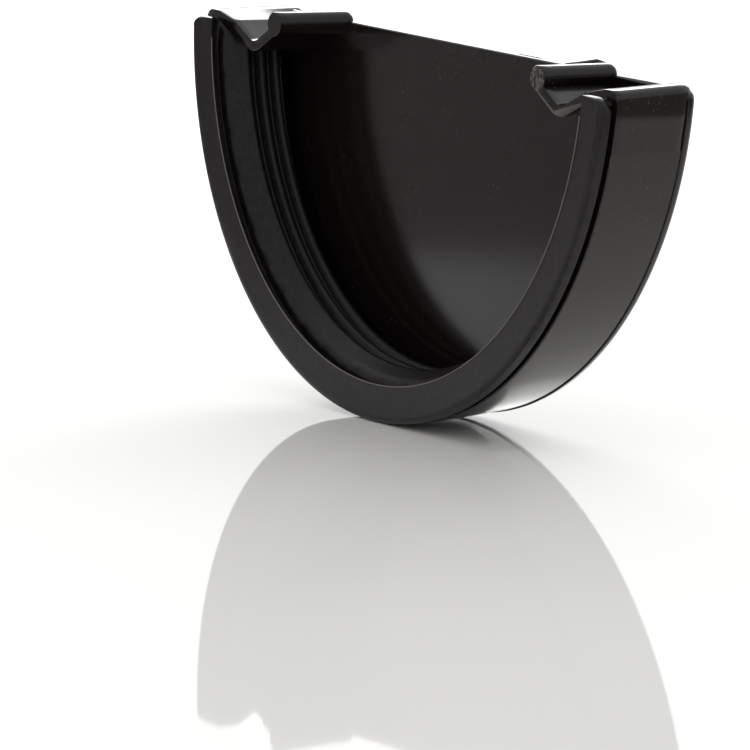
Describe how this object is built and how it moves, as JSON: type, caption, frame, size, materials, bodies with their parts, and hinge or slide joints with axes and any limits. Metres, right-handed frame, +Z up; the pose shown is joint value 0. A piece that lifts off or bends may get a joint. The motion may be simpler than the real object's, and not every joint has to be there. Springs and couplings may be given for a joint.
{
  "type": "gutter end cap",
  "caption": "Half-round rain gutter end cap: a moulded cup with a flat closed end, sprung clip strips along its top edges and a ribbed rubber seal round its mouth.",
  "frame": {"origin": "On the gutter's centre line, at the inner face of the end wall, where the gutter's end stops.", "axes": "X across the gutter, Y along it from the open mouth to the closed end, Z up."},
  "size_m": [0.1226, 0.0183, 0.0608],
  "materials": {
    "black_upvc": "glossy moulded",
    "black_epdm": "matt, slightly dusty"
  },
  "bodies": {
    "root": {"moulded_body": "black_upvc", "rubber_seal": "black_epdm"}
  },
  "joints": []
}
